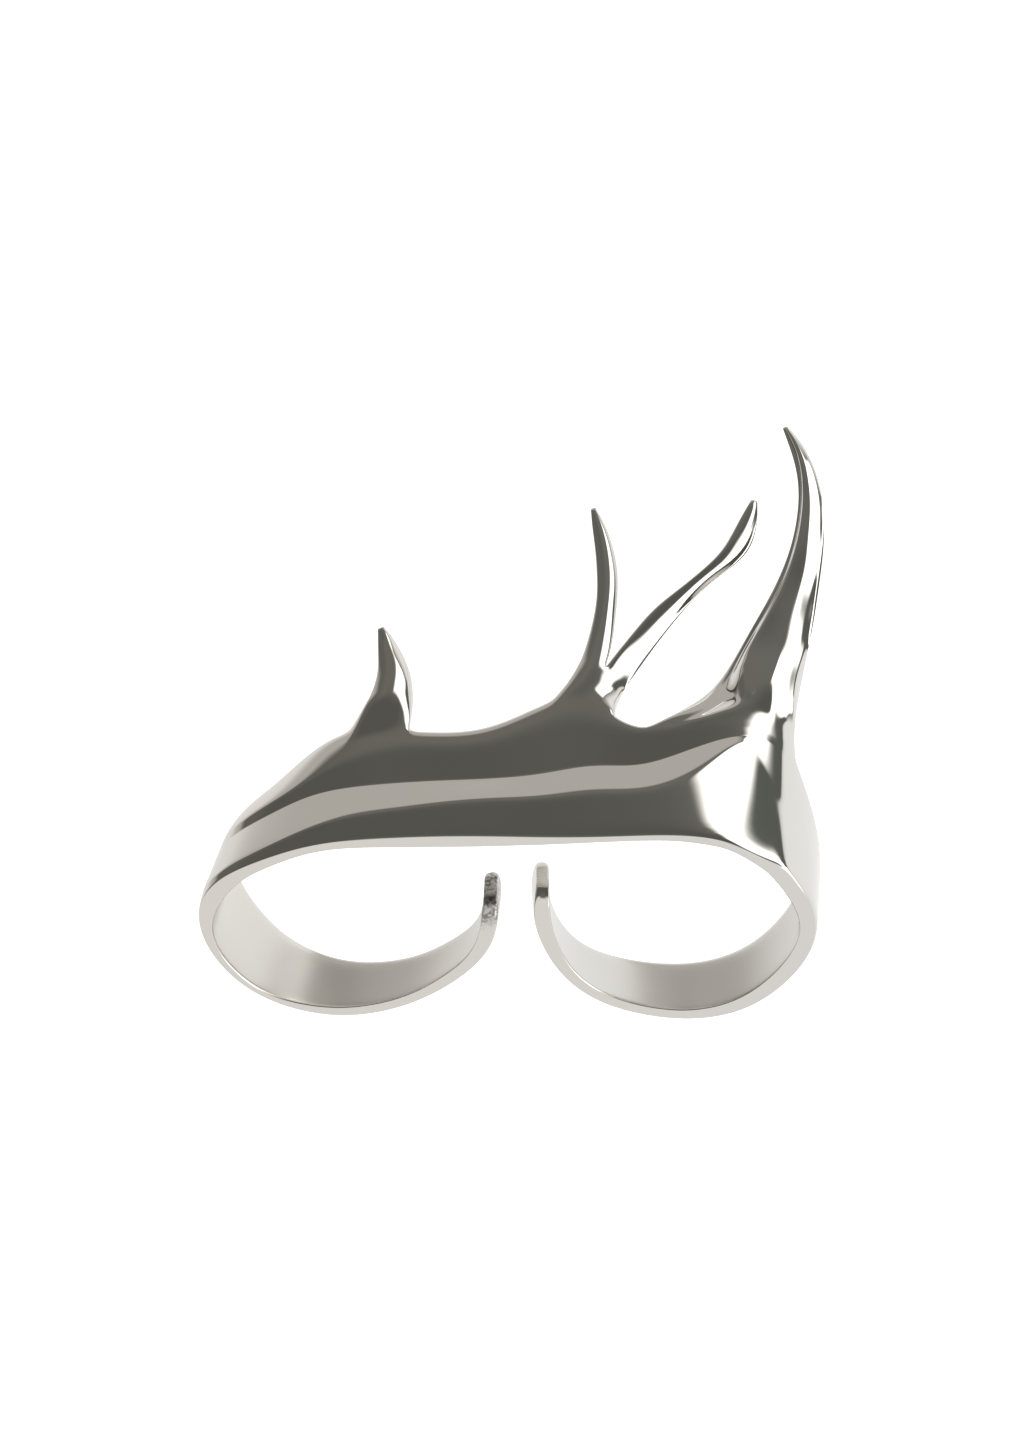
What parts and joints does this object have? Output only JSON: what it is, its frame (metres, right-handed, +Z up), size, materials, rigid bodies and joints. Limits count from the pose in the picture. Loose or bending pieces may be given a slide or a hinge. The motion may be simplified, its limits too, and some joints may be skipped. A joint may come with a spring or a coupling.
{
  "type": "double finger ring",
  "caption": "Polished silver ring for two fingers: open loops under a creased plate with curved flame-shaped horns.",
  "frame": {"origin": "centre of the bounding box's base, on the table the ring lies on", "axes": "+X across the two fingers towards the longest flame's side, +Y from the loops towards the flame tips, +Z up from the table; the finger axis points down towards +Y, 46.2 degrees below the horizontal"},
  "size_m": [0.044, 0.0416, 0.0161],
  "materials": {
    "silver": "polished cast silver, satin inside the loops"
  },
  "bodies": {
    "root": {"double_ring": "silver"}
  },
  "joints": []
}
